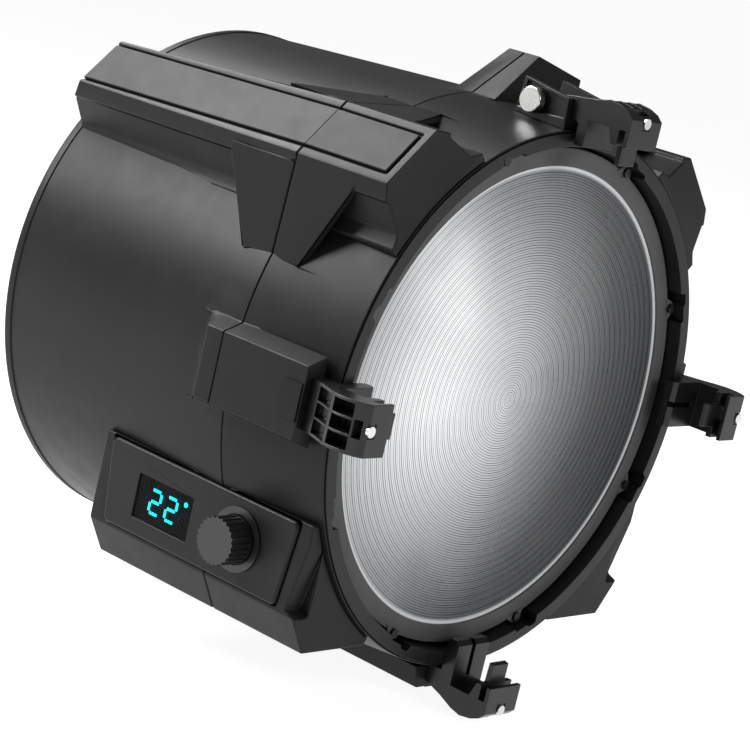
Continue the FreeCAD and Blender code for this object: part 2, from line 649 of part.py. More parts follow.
def rail_front(label, turn):
    piece = Piece(label, turn)
    front = S["rail_front_depth"]
    piece.slab([wing(1), wing(-1)], at(S["wing_root_front"]), seam_front)
    slope = (S["wing_tip_front"] - S["wing_root_front"]) / (S["wing_reach"] - S["rail_shoulder_half"])
    far = S["wing_reach"] * 1.1
    near = S["wing_root_half"] * 0.9
    trim = [(near, at(S["wing_root_front"] + slope * (near - S["rail_shoulder_half"]))),
            (far, at(S["wing_root_front"] + slope * (far - S["rail_shoulder_half"]))), (far, at(0)), (near, at(0))]
    deep = S["seam_radius"] * 0.8
    piece.rise_cut([trim, [(-x, y) for x, y in reversed(trim)]], deep, S["rail_top"] + 1.0)
    piece.slab([rail_section(size(0), size(1))], at(front), seam_front)
    piece.slot([rail_cavity(size(0), size(1))], at(front + S["rail_front_slope"] + S["rail_wall"]), seam_front)
    top = S["rail_top"]
    piece.wide_cut([[(at(front - 2.0), top - S["rail_foot_drop"]), (at(front), top - S["rail_foot_drop"]),
                     (at(front + S["rail_front_slope"]), top + 1.0), (at(front - 2.0), top + 1.0)]],
                   S["rail_foot_half"] * 3)
    recess = top - S["insert_recess"]
    piece.wide_cut([[(at(S["insert_front_depth"] - S["insert_groove"]), recess), (seam_front + 1.0, recess),
                     (seam_front + 1.0, top + 2.0),
                     (at(S["insert_front_depth"] - S["insert_groove"]), top + 2.0)]],
                   (S["insert_half"] + S["insert_groove"]) * 2)
    drum_cut(piece, size(0), seam)


def rail_rear(label, turn):
    piece = Piece(label, turn)
    end = S["rail_end_depth"]
    piece.slab([wing(1), wing(-1)], seam_rear, at(S["wing_root_rear"]))
    slope = (S["wing_root_rear"] - S["wing_tip_rear"]) / (S["wing_reach"] - S["rail_shoulder_half"])
    far = S["wing_reach"] * 1.1
    near = S["wing_root_half"] * 0.9
    beyond = at(S["wing_root_rear"] + 20.0)
    trim = [(near, at(S["wing_root_rear"] - slope * (near - S["rail_shoulder_half"]))),
            (far, at(S["wing_root_rear"] - slope * (far - S["rail_shoulder_half"]))), (far, beyond), (near, beyond)]
    deep = S["seam_radius"] * 0.8
    piece.rise_cut([trim, [(-x, y) for x, y in reversed(trim)]], deep, S["rail_top"] + 1.0)
    share = S["rail_tail_share"]
    piece.loft(rail_section(size(0), size(1)), seam_rear, rail_section(S["rail_tail_drop"], share), at(end))
    cavity = S["rail_tail_drop"] * 1.2
    piece.slot([rail_cavity(cavity, share)], seam_rear, at(end - S["rail_end_slope"] - S["rail_wall"]))
    low = insert_line(end) - S["rail_end_height"]
    piece.wide_cut([[(at(end + 2.0), low), (at(end), low), (at(end - S["rail_end_slope"]), insert_line(end) + 3.0),
                     (at(end + 2.0), insert_line(end) + 3.0)]], S["rail_foot_half"] * 3)
    sunk = S["insert_recess"]
    piece.wide_cut([[(at(seam - 1.0), insert_line(seam - 1.0) - sunk), (at(end + 2.0), insert_line(end + 2.0) - sunk),
                     (at(end + 2.0), S["rail_top"] + 2.0), (at(seam - 1.0), S["rail_top"] + 2.0)]],
                   (S["insert_half"] + S["insert_groove"]) * 2)
    drum_cut(piece, seam, end + 2.0)
    lip = S["drum_length"] - S["tail_lip_length"] - S["shell_fit"]
    over = S["tail_radius"] + S["tail_lip_height"] + S["seat_gap"]
    piece.bored([(at(lip), 0), (at(end + 2.0), 0), (at(end + 2.0), over), (at(lip), over)])


def rail_insert_front(label, turn):
    piece = Piece(label, turn)
    low = S["rail_top"] - S["insert_recess"]
    high = S["rail_top"] + S["insert_rise"]
    front = at(S["insert_front_depth"])
    piece.wide([oblong(front, seam_front, low, high)], S["insert_half"] * 2)
    piece.rounded(S["insert_rise"] + 0.5, lambda a, b: min(a.z, b.z) > high.value - 0.01
                  and max(a.y, b.y) < seam_front.value + 0.01 and (abs(a.x - b.x) < 0.01 or a.y < 0)
                  and not (abs(a.y - seam_front.value) < 0.01 and abs(b.y - seam_front.value) < 0.01))


def rail_insert_rear(label, turn):
    piece = Piece(label, turn)
    end = S["rail_end_depth"] - S["rail_end_slope"]
    low = S["insert_recess"]
    high = S["insert_rise"]
    start = seam + S["seam_gap"] / 2
    piece.wide([[(at(start), insert_line(start) - low), (at(end), insert_line(end) - low),
                 (at(end), insert_line(end) + high), (at(start), insert_line(start) + high)]],
               S["insert_half"] * 2)
    piece.rounded(S["insert_rise"] + 0.5, lambda a, b: min(a.z, b.z) > insert_line(end).value
                  and abs(a.x - b.x) < 0.01 and abs(a.y - b.y) > 1.0)


def fixing_covers():
    """The three rounded plates that cap the fixings of the brackets."""
    piece = Piece("fixing_covers")
    half = S["cover_half"]
    front = at(S["cover_front_depth"])
    rear = at(S["cover_rear_depth"])
    face = S["housing_face"]
    thick = S["cover_thickness"]
    piece.side([oblong(front, rear, -half, half)], -face - thick, -face)
    piece.side([oblong(front, rear, -half, half)], face, face + thick)
    piece.rise([[(-half, front), (half, front), (half, rear), (-half, rear)]], -face - thick, -face)
    piece.rounded(S["cover_corner"], lambda a, b: min(a.y, b.y) > rear.value - 0.01
                  and abs(a.distanceToPoint(b) - thick.value) < 0.01)


# ---- accessory brackets --------------------------------------------------------------------------

def bracket_nose():
    """Side outline (y, z) of the hooked front end that all four brackets share, from floor to floor."""
    outer = S["bracket_outer"]
    reach = S["bracket_reach"]
    prong_front = S["prong_depth"]
    prong_rear = prong_front - S["prong_thickness"]
    return [
        (at(-reach * 0.34), outer - 2.2), (at(-reach * 0.53), outer), (at(-reach * 0.74), outer - 1.5),
        (at(-reach * 0.9), outer - 4.6), (at(-reach), outer - 9.0), (at(-reach), S["end_wall_top"]),
        (at(-reach + S["end_wall"]), S["end_wall_top"]), (at(-reach + S["end_wall"]), S["bracket_floor"]),
        (at(-prong_front), S["bracket_floor"]), (at(-prong_front), S["prong_top"]),
        (at(-prong_rear), S["prong_top"] - 1.0), (at(-prong_rear + 0.6), S["end_wall_top"]),
        (at(-prong_rear + 5.0), S["bracket_floor"]), (at(-S["bracket_root_front"]), S["bracket_floor"])]


def bracket_details(piece, rear):
    """Rib pockets on the outside, the window, the trimmed prong and the plunger's bore."""
    half = S["bracket_half"]
    reach = S["bracket_reach"]
    rim = S["rib_rim"]
    rib = S["rib_thickness"]
    outer = S["bracket_outer"]
    bay = (half * 2 - rim * 2 - rib * 2) / 3
    length = (reach - S["end_wall"] * 3 + rear) / 2
    for column in range(2):
        start = at(-reach + S["end_wall"] * 3 + length * column + rib * column)
        stop = start + length - rib
        for lane in range(3):
            left = -half + rim + (bay + rib) * lane
            piece.rise_cut([oblong_xy(left, left + bay, start, stop)], S["rib_floor"], outer + 1.0)
    window = S["window_half"]
    piece.rise_cut([oblong_xy(-window, window, at(-reach + S["end_wall"]), at(-S["prong_depth"]))],
                   S["bracket_floor"] - 1.0, outer + 1.0)
    for sign in (-1, 1):
        edge = S["prong_half"] * sign
        far = (half + 1.0) * sign
        low, high = (edge, far) if sign > 0 else (far, edge)
        piece.slot([[(low, S["prong_top"] - 3.0), (high, S["prong_top"] - 3.0),
                     (high, S["end_wall_top"]), (low, S["end_wall_top"])]],
                   at(-S["prong_depth"] - 0.1), at(-S["prong_depth"] + S["prong_thickness"] + 1.0))
    height = S["plunger_height"]
    arch = S["plunger_head"] + 1.0
    piece.slot([[(-arch, height - arch), (arch, height - arch), (arch, height + arch),
                 (-arch, height + arch)]], at(-reach), at(-reach + S["plunger_sink"]))
    piece.slot([(size(0), height, S["plunger_radius"] + S["plunger_fit"])], at(-reach),
               at(-reach + S["end_wall"] + 0.1))


def oblong_xy(x_low, x_high, y_low, y_high):
    return [(x_low, y_low), (x_high, y_low), (x_high, y_high), (x_low, y_high)]


def bracket(label, turn):
    piece = Piece(label, turn)
    root_top = S["bracket_root_top"]
    tail = S["housing_front_depth"] - S["seat_gap"]
    foot = nose_skin(S["housing_front_depth"]) + 0.6
    face = S["housing_face"]
    profile = [(at(tail), foot), (at(tail), face - 6.0), (at(-4.0), face - 0.5)] + bracket_nose() + [
        (at(-S["bracket_root_front"]), root_top + 3.0), (at(-S["bracket_root_front"] + 3.0), root_top),
        (at(-1.5), root_top), (at(-S["seat_gap"]), root_top + 4.0), (at(-S["seat_gap"]), foot)]
    piece.wide([profile], S["bracket_half"] * 2)
    bracket_details(piece, S["nose_depth"])
    slit = S["prong_thickness"] / 2
    piece.slot([[(-slit, root_top - 1.0), (slit, root_top - 1.0), (slit, S["bracket_floor"] - 6.0),
                 (-slit, S["bracket_floor"] - 6.0)]], at(-S["bracket_root_front"] - 0.1),
               at(-S["bracket_root_front"] / 2))


def plunger(label, turn):
    """A sprung steel plunger that holds an accessory's frame in the bracket's front slot."""
    piece = Piece(label, turn)
    height = S["plunger_height"]
    seat = -S["bracket_reach"] + S["plunger_sink"]
    piece.slab([(size(0), height, S["plunger_head"])], at(seat - S["plunger_head_length"]), at(seat))
    piece.slab([(size(0), height, S["plunger_radius"])], at(seat),
               at(-S["bracket_reach"] + S["end_wall"] + S["plunger_nose"]))


# ---- top latch -----------------------------------------------------------------------------------

def latch_base():
    piece = Piece("latch_base")
    half = S["cheek_half"]
    inner = half - S["cheek_thickness"]
    front = S["cheek_front_depth"]
    rear = S["cheek_rear_depth"]
    low = S["nose_radius"] - 6.0
    cheek = [(at(rear + 4.0), low), (at(rear), S["cheek_top"]), (at(front), S["cheek_front_top"]),
             (at(front - 2.0), low)]
    rim = S["cheek_rim"]
    hollow = [(at(rear + 4.0 - rim), S["cheek_floor"]), (at(rear - rim), S["cheek_top"] - rim),
              (at(front + rim), S["cheek_front_top"] - rim), (at(front - 2.0 + rim), S["cheek_floor"])]
    piece.wide([cheek], half * 2)
    piece.wide_cut([[(at(front - 4.0), S["cheek_floor"]), (at(rear + 6.0), S["cheek_floor"]),
                     (at(rear + 6.0), S["cheek_top"] + 2.0), (at(front - 4.0), S["cheek_top"] + 2.0)]], inner * 2)
    for low_x, high_x in ((-half - S["cheek_rim_reach"], -half), (half, half + S["cheek_rim_reach"])):
        piece.side([cheek], low_x, high_x)
        piece.side_cut([hollow], low_x, high_x)
    piece.wide_cut([(at(S["latch_pin_depth"]), S["latch_pin_height"], S["latch_pin_radius"])], half * 3)
    drum_cut(piece, size(0), size(rear + 6.0))


def latch_arm():
    piece = Piece("latch_arm")
    pin_y = at(S["latch_pin_depth"])
    pin_z = S["latch_pin_height"]
    under = S["cheek_floor"] + S["latch_gap"]
    eye = S["latch_eye_radius"]
    top = S["cheek_front_top"] + 2.0
    root = S["bracket_root_front"]
    profile = [(pin_y, under), (pin_y + eye * 0.7, pin_z - eye * 0.7), (pin_y + eye, pin_z),
               (pin_y + eye * 0.7, pin_z + eye * 0.7), (at(8.0), top), (at(-4.0), top + 1.0)] + bracket_nose() + [
        (at(-root), S["bracket_root_top"] + 14.0), (at(-root + 8.0), S["bracket_root_top"] + 14.0),
        (at(-root + 8.0), under - 2.0), (at(-1.0), under)]
    piece.wide([profile], S["bracket_half"] * 2)
    bracket_details(piece, size(-4.0))
    piece.wide_cut([(pin_y, pin_z, S["latch_pin_radius"] + S["latch_pin_fit"])], S["bracket_half"] * 3)
    piece.wide_cut([[(pin_y - eye - 1.0, under - 1.0), (pin_y + eye + 1.0, under - 1.0),
                     (pin_y + eye + 1.0, top + 1.0), (pin_y - eye - 1.0, top + 1.0)]],
                   S["latch_spring_half"] * 2 + 1.0)


def latch_pin():
    piece = Piece("latch_pin")
    place = (at(S["latch_pin_depth"]), S["latch_pin_height"])
    reach = S["cheek_half"] + S["cheek_rim_reach"] + 0.2
    piece.side([place + (S["latch_pin_radius"],)], -reach, reach)
    piece.side([place + (S["latch_head_radius"],)], -reach - S["latch_head_length"], -reach)
    piece.side([place + (S["latch_eye_radius"],)], reach, reach + 1.6)


def latch_spring():
    """The torsion spring's coils, which sit round the pin in the middle of the arm."""
    piece = Piece("latch_spring")
    place = (at(S["latch_pin_depth"]), S["latch_pin_height"])
    turns = int(S["latch_spring_turns"].value)
    pitch = S["latch_spring_half"] * 2 / S["latch_spring_turns"]
    for turn in range(turns):
        start = -S["latch_spring_half"] + pitch * turn
        piece.side([place + (S["latch_spring_radius"],)], start, start + S["latch_spring_wire"])
        piece.side_cut([place + (S["latch_spring_radius"] - S["latch_spring_wire"],)], start,
                       start + S["latch_spring_wire"])


# ---- control box, driver box and their panels ----------------------------------------------------

def box_section(sign):
    """Section (x, z) of the box at the lower left (-1) or lower right (1)."""
    points = [(S["box_side"], -S["box_top"]), (S["box_side"], -S["box_bend"]), (S["box_bend_inset"], -S["box_floor"]),
              (S["box_inner_end"], -S["box_floor"]), (S["box_inner_end"] * 0.9, -S["box_floor"] + S["box_inner_drop"]),
              (S["box_inner_side"], -S["box_top"])]
    return [(x * sign, z) for x, z in points]


def box_cavity(sign):
    thick = S["box_wall"] + S["panel_thickness"] - S["panel_rise"]
    points = [(S["box_side"] - thick, -S["box_top"] - thick * 2), (S["box_side"] - thick, -S["box_bend"]),
              (S["box_bend_inset"] - S["box_wall"] * 0.6, -S["box_floor"] + S["box_wall"]),
              (S["box_inner_end"] + S["box_wall"], -S["box_floor"] + S["box_wall"]),
              (S["box_inner_end"] * 0.9, -S["box_floor"] + S["box_inner_drop"] + 8.0),
              (S["box_inner_side"] - 12.0, -S["box_top"] - thick * 2)]
    return [(x * sign, z) for x, z in points]


def panel_outline(margin):
    """Outline (y, z) of a side panel, let out by the margin."""
    skew = S["panel_skew"]
    return [(at(S["panel_front_depth"] - margin), -S["panel_top"] + margin),
            (at(S["panel_front_depth"] + skew - margin), -S["panel_bottom"] - margin),
            (at(S["panel_rear_depth"] - skew + margin), -S["panel_bottom"] - margin),
            (at(S["panel_rear_depth"] + margin), -S["panel_top"] + margin)]


def side_span(sign, low, high):
    """Two x values given outwards, in rising order on either side."""
    return (-size(high), -size(low)) if sign < 0 else (size(low), size(high))


def box_half(label, sign, front, rear):
    piece = Piece(label)
    piece.slab([box_section(sign)], at(front), at(rear))
    inset = S["box_wall"]
    if rear.value <= seam.value:
        piece.slot([box_cavity(sign)], at(front + S["box_notch_length"] + inset), at(rear))
        notch = [(at(front - 1.0), -S["box_notch_top"]), (at(front + S["box_notch_length"]), -S["box_notch_low"] + 4.0),
                 (at(front - 1.0), -S["box_notch_low"])]
        low, high = side_span(sign, S["box_side"] - S["box_notch_depth"], S["box_side"] + 1.0)
        piece.side_cut([notch], low, high)
    else:
        piece.slot([box_cavity(sign)], at(front), at(rear - inset))
    low, high = side_span(sign, S["box_side"] + S["panel_rise"] - S["panel_thickness"], S["box_side"] + 1.0)
    piece.side_cut([panel_outline(S["panel_fit"])], low, high)
    if sign < 0:
        margin = S["board_margin"] + 1.0
        opening = oblong(at(S["knob_depth"]) - S["encoder_side"] / 2 - margin, at(S["window_rear_depth"]) + margin,
                         -S["window_bottom"] - margin, -S["window_top"] + 2.0)
        piece.side_cut([opening], -S["box_side"] - 1.0, board_face())
    drum_cut(piece, front - 1.0 if front.value < seam.value else seam, rear)


def panel(label, sign, fitted):
    """A raised side panel; the fitted one carries the display window and the rotary control."""
    piece = Piece(label)
    face = S["box_side"] + S["panel_rise"]
    low, high = side_span(sign, face - S["panel_thickness"] + S["seat_gap"], face)
    piece.side([panel_outline(size(0))], low, high)
    piece.rounded(S["panel_corner"], lambda a, b: abs(a.x - b.x) > 1.0)
    edge = (face * sign).value
    piece.rounded(S["panel_edge"], lambda a, b: abs(a.x - edge) < 0.01 and abs(b.x - edge) < 0.01)
    if fitted:
        opening = oblong(at(S["window_front_depth"]), at(S["window_rear_depth"]), -S["window_bottom"],
                         -S["window_top"])
        piece.side_cut([opening], low - 1.0, high + 1.0)
        bush = (at(S["knob_depth"]), -S["knob_height"], S["bush_radius"] + S["seat_gap"])
        piece.side_cut([bush], low - 1.0, high + 1.0)
    drum_trim = S["seam_radius"] + S["seat_gap"]
    volume = piece.volume
    piece.bored([(at(S["panel_front_depth"] - 2.0), 0), (at(seam), 0), (at(seam), drum_trim),
                 (at(S["panel_front_depth"] - 2.0), nose_skin(S["panel_front_depth"]) + S["seat_gap"])])
    piece.bored([(at(seam), 0), (at(S["panel_rear_depth"] + 2.0), 0),
                 (at(S["panel_rear_depth"] + 2.0), tail_skin(S["panel_rear_depth"]) + S["seat_gap"]),
                 (at(seam), drum_trim)])
    return volume


def display_window():
    piece = Piece("display_window")
    margin = S["seat_gap"]
    face = -S["box_side"] - S["panel_rise"] + S["window_sink"]
    piece.side([oblong(at(S["window_front_depth"]) + margin, at(S["window_rear_depth"]) - margin,
                       -S["window_bottom"] + margin, -S["window_top"] - margin)],
               face, face + S["window_thickness"])


SEVEN_BARS = {"top": (0.5, 1.0, 0), "middle": (0.5, 0.5, 0), "bottom": (0.5, 0.0, 0), "upper_left": (0.0, 0.75, 1),
              "upper_right": (1.0, 0.75, 1), "lower_left": (0.0, 0.25, 1), "lower_right": (1.0, 0.25, 1)}
TWO = ("top", "upper_right", "middle", "lower_left", "bottom")


def digit_bars(front_edge, low):
    """The lit bars of a figure two, as outlines (y, z); left to right on the display is front to rear."""
    width = S["digit_width"]
    height = S["digit_height"]
    half = S["digit_stroke"] / 2
    bars = []
    for name in TWO:
        across, up, upright = SEVEN_BARS[name]
        y = front_edge + width * (1.0 - across)
        z = low + height * up
        long_half = (height / 2 - S["digit_stroke"] * 1.2) / 2 if upright else (width - S["digit_stroke"] * 1.2) / 2
        if upright:
            bars.append(oblong(y - half, y + half, z - long_half, z + long_half))
        else:
            bars.append(oblong(y - long_half, y + long_half, z - half, z + half))
    return bars


def display_digits():
    """Two seven-bar figures and a round dot, which glow through the window."""
    piece = Piece("display_digits")
    behind = -S["box_side"] - S["panel_rise"] + S["window_sink"] + S["window_thickness"]
    middle_z = -(S["window_top"] + S["window_bottom"]) / 2
    low = middle_z - S["digit_height"] / 2
    front = at(S["window_front_depth"]) + S["digit_pitch"]
    shapes = digit_bars(front, low) + digit_bars(front + S["digit_pitch"], low)
    dot = (at(S["window_front_depth"]) + S["digit_pitch"] / 2, low + S["digit_height"], S["digit_stroke"] * 0.9)
    piece.side(shapes + [dot], behind, behind + S["digit_thickness"])


def display_module():
    piece = Piece("display_module")
    behind = -S["box_side"] - S["panel_rise"] + S["window_sink"] + S["window_thickness"] + S["digit_thickness"]
    margin = S["seat_gap"]
    piece.side([oblong(at(S["window_front_depth"]) + margin, at(S["window_rear_depth"]) - margin,
                       -S["window_bottom"] + margin, -S["window_top"] - margin)],
               behind, behind + S["display_depth"] - S["digit_thickness"])


def board_face():
    """X of the control board's outer side, behind the display."""
    return -S["box_side"] - S["panel_rise"] + S["window_sink"] + S["window_thickness"] + S["display_depth"]


def control_board():
    piece = Piece("control_board")
    margin = S["board_margin"]
    piece.side([oblong(at(S["knob_depth"]) - S["encoder_side"] / 2 - margin, at(S["window_rear_depth"]) + margin,
                       -S["window_bottom"] - margin, -S["board_top"])],
               board_face(), board_face() + S["board_thickness"])


def encoder_body():
    """The rotary encoder, with the threaded neck that carries it in the panel."""
    piece = Piece("encoder_body", move=(None, at(S["knob_depth"]), -S["knob_height"]))
    half = S["encoder_side"] / 2
    face = -S["box_side"] - S["panel_rise"]
    inner = face + S["panel_thickness"]
    piece.side([oblong(-half, half, -half, half)], inner, board_face())
    piece.side([(size(0), size(0), S["bush_radius"])], face - S["bush_length"] / 2, inner)
    piece.side_cut([(size(0), size(0), S["shaft_radius"] + S["shaft_fit"])], face - S["bush_length"] / 2,
                   board_face() - 1.0)


def encoder_plunger():
    """The disc at the foot of the shaft that works the press contact."""
    piece = Piece("encoder_plunger", move=(None, at(S["knob_depth"]), -S["knob_height"]))
    foot = board_face() - 1.0 - S["knob_travel"] - S["seat_gap"]
    piece.side([(size(0), size(0), S["shaft_radius"])], foot - 0.8, foot)


def knob_base():
    return -S["box_side"] - S["panel_rise"] - S["knob_clearance"] - S["knob_travel"]


def encoder_shaft():
    piece = Piece("encoder_shaft", move=(None, at(S["knob_depth"]), -S["knob_height"]))
    foot = board_face() - 1.0 - S["knob_travel"] - S["seat_gap"] - 0.8
    piece.side([(size(0), size(0), S["shaft_radius"])], knob_base() - S["knob_length"] * 0.7, foot)


def knob():
    piece = Piece("knob", move=(None, at(S["knob_depth"]), -S["knob_height"]))
    base = knob_base()
    length = S["knob_length"]
    centre = (size(0), size(0))
    piece.side([centre + (S["knob_radius"],)], base - length, base)
    flute = piece.side_cut([(S["knob_radius"] + S["flute_radius"] * 0.3, size(0), S["flute_radius"])],
                           base - length, base - length * 0.12)
    grown = piece.body.newObject("PartDesign::PolarPattern", "Pattern")
    grown.Originals = [flute]
    grown.Axis = (piece.plane("X_Axis"), [""])
    grown.Angle = 360.0
    grown.setExpression("Occurrences", S["knob_flutes"].text)
    piece.body.Tip = grown
    doc.recompute()
    piece.volume = piece.body.Shape.Volume
    piece.side_cut([centre + (S["shaft_radius"],)], base - length * 0.7, base)
    piece.side_cut([centre + (S["bush_radius"] + 1.5,)], base - S["bush_length"], base)


def knob_collar():
    piece = Piece("knob_collar", move=(None, at(S["knob_depth"]), -S["knob_height"]))
    face = -S["box_side"] - S["panel_rise"]
    centre = (size(0), size(0))
    piece.side([centre + (S["collar_radius"],), centre + (S["collar_bore"],)],
               face - S["collar_height"], face)


# ---- rear cover and coupling ---------------------------------------------------------------------

cover_rear = S["cover_plate_depth"] + S["cover_plate_thickness"]
mechanism_angles = (-S["rod_angle"], S["rod_angle"])
screw_place = (size(0), -S["rod_place_radius"])


def rod_places():
    return [around(angle, size(0), S["rod_place_radius"]) for angle in mechanism_angles]


def rear_cover():
    piece = Piece("rear_cover")
    front = at(S["cover_plate_depth"])
    piece.turned([(front, S["light_opening"]), (front, tail_inner - S["shell_fit"]),
                  (at(cover_rear), tail_inner - S["shell_fit"]), (at(cover_rear), S["light_opening"])])
    seats = [place + (S["rod_radius"] + S["rod_fit"],) for place in rod_places()]
    piece.slot(seats, front, at(S["cover_plate_depth"] + S["rod_seat"]))
    screw_ring(piece, cover_screw_place, S["cover_screw_radius"] + S["seat_gap"], S["cover_screw_count"],
               front, at(cover_rear))
    screw_ring(piece, S["coupling_pitch_radius"], S["coupling_screw_radius"] + S["seat_gap"],
               S["cover_screw_count"], front, at(cover_rear))


def coupling_ring():
    piece = Piece("coupling_ring")
    flange = at(cover_rear + S["coupling_flange"])
    piece.turned([(at(cover_rear), S["light_opening"]), (at(cover_rear), S["coupling_radius"]),
                  (flange, S["coupling_radius"]), (flange, S["coupling_spigot"]), (size(0), S["coupling_spigot"]),
                  (size(0), S["light_opening"])])
    half = S["bayonet_width"] / 2
    low = S["coupling_spigot"] - S["bayonet_reach"] / 2
    high = S["coupling_spigot"] + S["bayonet_reach"]
    tooth_angle = 180.0 / S["cover_screw_count"]
    tooth = [(-half, low), (-half, high), (half, high), (half, low)]
    lug = piece.slab([[around(tooth_angle, t, r) for t, r in tooth]], -S["bayonet_thickness"], size(0))
    piece.polar([lug], S["bayonet_count"])
    screw_ring(piece, S["coupling_pitch_radius"], S["coupling_screw_radius"] + S["seat_gap"],
               S["cover_screw_count"], at(cover_rear), flange)


def screw_set(label, place_radius, radius, head_radius, seat, count):
    """Cap screws evenly about the optical axis, driven in from behind."""
    piece = Piece(label)
    place = (size(0), place_radius)
    head = piece.slab([place + (head_radius,)], seat, seat + radius)
    shank = piece.slab([place + (radius,)], at(S["cover_plate_depth"] - S["cover_flange"] + 0.5), seat)
    piece.polar([head, shank], count)


def contact_block():
    piece = Piece("contact_block")
    half = S["contact_width"] / 2
    low = S["contact_radius_place"]
    piece.slab([[(-half, low), (half, low), (half, low + S["contact_height"]), (-half, low + S["contact_height"])]],
               at(cover_rear), at(cover_rear + S["contact_length"]))


def contact_pins():
    piece = Piece("contact_pins")
    height = S["contact_radius_place"] + S["contact_height"] / 2
    rear = cover_rear + S["contact_length"]
    step = S["contact_width"] / 6
    pins = [(step * (number - 2), height, size(1.3)) for number in range(5)]
    piece.slab(pins, at(rear), at(rear + 1.6))


# ---- zoom mechanism ------------------------------------------------------------------------------

rest = S["carriage_rest_depth"]
carriage_front = rest - S["carriage_thickness"] / 2
carriage_rear = rest + S["carriage_thickness"] / 2


def optics_plate():
    piece = Piece("optics_plate")
    front = S["plate_depth"]
    rear = front + S["plate_thickness"]
    outer = nose_skin(front) - wall - S["shell_fit"]
    piece.turned([(at(front), S["plate_opening"]), (at(front), outer), (at(rear), outer),
                  (at(rear), S["plate_opening"])])
    holes = [place + (S["rod_radius"] + S["rod_fit"],) for place in rod_places()]
    piece.slot(holes + [screw_place + (S["bearing_radius"] + S["seat_gap"],)], at(front), at(rear))


def guide_rods():
    piece = Piece("guide_rods")
    rods = [place + (S["rod_radius"],) for place in rod_places()]
    piece.slab(rods, at(S["plate_depth"]), at(S["cover_plate_depth"] + S["rod_seat"] - S["seat_gap"]))


def ear(direction):
    half = S["carriage_ear_half"]
    low = S["carriage_radius"] * 0.9
    high = S["carriage_ear_reach"]
    return [around(direction, t, r) for t, r in ((-half, low), (-half * 0.8, high), (half * 0.8, high), (half, low))]


def carriage():
    piece = Piece("carriage")
    piece.turned([(at(carriage_front), S["carriage_opening"]), (at(carriage_front), S["carriage_radius"]),
                  (at(carriage_rear), S["carriage_radius"]), (at(carriage_rear), S["carriage_opening"])])
    for direction in mechanism_angles + (size(180.0),):
        piece.slab([ear(direction)], at(carriage_front), at(carriage_rear))
    holes = [place + (S["slide_bush_radius"] + S["seat_gap"],) for place in rod_places()]
    piece.slot(holes + [screw_place + (S["nut_radius"] - 3.0 + S["seat_gap"],)], at(carriage_front),
               at(carriage_rear))


def slide_bushes():
    piece = Piece("slide_bushes")
    half = S["slide_bush_length"] / 2
    for place in rod_places():
        piece.slab([place + (S["slide_bush_radius"],)], at(rest - half), at(rest + half))
        piece.slot([place + (S["rod_radius"] + S["rod_fit"],)], at(rest - half), at(rest + half))


def drive_nut():
    piece = Piece("drive_nut")
    half = S["nut_length"] / 2
    piece.slab([screw_place + (S["nut_radius"] - 3.0,)], at(rest - half), at(rest + half))
    piece.slab([screw_place + (S["nut_radius"],)], at(carriage_rear), at(rest + half))
    piece.slot([screw_place + (S["screw_radius"] + S["screw_fit"],)], at(rest - half), at(rest + half))


def lens_cell():
    """The cup on the carriage that holds the moving lens by its edge."""
    piece = Piece("lens_cell")
    inner = S["zoom_lens_radius"] + S["bezel_fit"]
    outer = inner + S["lens_cell_width"]
    lip = S["zoom_lens_radius"] - S["lens_cell_reach"]
    face = at(carriage_front - S["zoom_lens_edge"])
    rear = at(carriage_front)
    front = face - S["lens_cell_lip"]
    piece.turned([(front, lip), (front, outer), (rear, outer), (rear, inner), (face, inner), (face, lip)])


def zoom_lens():
    piece = Piece("zoom_lens")
    rear = at(carriage_front)
    edge = at(carriage_front - S["zoom_lens_edge"])
    flat = S["zoom_lens_radius"] - S["lens_cell_reach"] - 0.5
    rings = 6
    crown = []
    for ring in range(rings):
        share = ring / float(rings - 1)
        crown.append((edge - S["zoom_lens_crown"] * (1.0 - share * share), flat * share))
    piece.turned([(rear, 0)] + crown + [(edge, S["zoom_lens_radius"]), (rear, S["zoom_lens_radius"])])


motor_front = S["cover_plate_depth"] - S["motor_length"]


def screw_bearing():
    piece = Piece("screw_bearing")
    front = S["plate_depth"]
    rear = front + S["bearing_length"]
    piece.slab([screw_place + (S["bearing_radius"],)], at(front), at(rear))
    piece.slot([screw_place + (S["screw_radius"] + S["screw_fit"],)], at(front), at(rear))


def lead_screw():
    """The screw that carries the drive nut; it is the motor's own shaft."""
    piece = Piece("lead_screw")
    piece.slab([screw_place + (S["screw_radius"],)], at(S["plate_depth"] - 2.0), at(motor_front + S["screw_seat"]))


def zoom_motor():
    piece = Piece("zoom_motor")
    half = S["motor_side"] / 2
    low = -S["rod_place_radius"] - half
    high = -S["rod_place_radius"] + half
    piece.slab([[(-half, low), (half, low), (half, high), (-half, high)]], at(motor_front),
               at(S["cover_plate_depth"]))
    piece.slot([screw_place + (S["screw_radius"] + S["screw_fit"],)], at(motor_front),
               at(motor_front + S["motor_bore_depth"]))


def home_switch():
    """The switch that tells the drive where the carriage's front end of travel is."""
    piece = Piece("home_switch")
    half = S["switch_width"] / 2
    rear = S["plate_depth"] + S["plate_thickness"]
    low = S["rod_place_radius"] - S["switch_height"]
    shape = [around(size(150.0), t, r) for t, r in ((-half, low), (-half, low + S["switch_height"]),
                                                    (half, low + S["switch_height"]), (half, low))]
    piece.slab([shape], at(rear), at(rear + S["switch_length"]))


# ---- the whole head ------------------------------------------------------------------------------

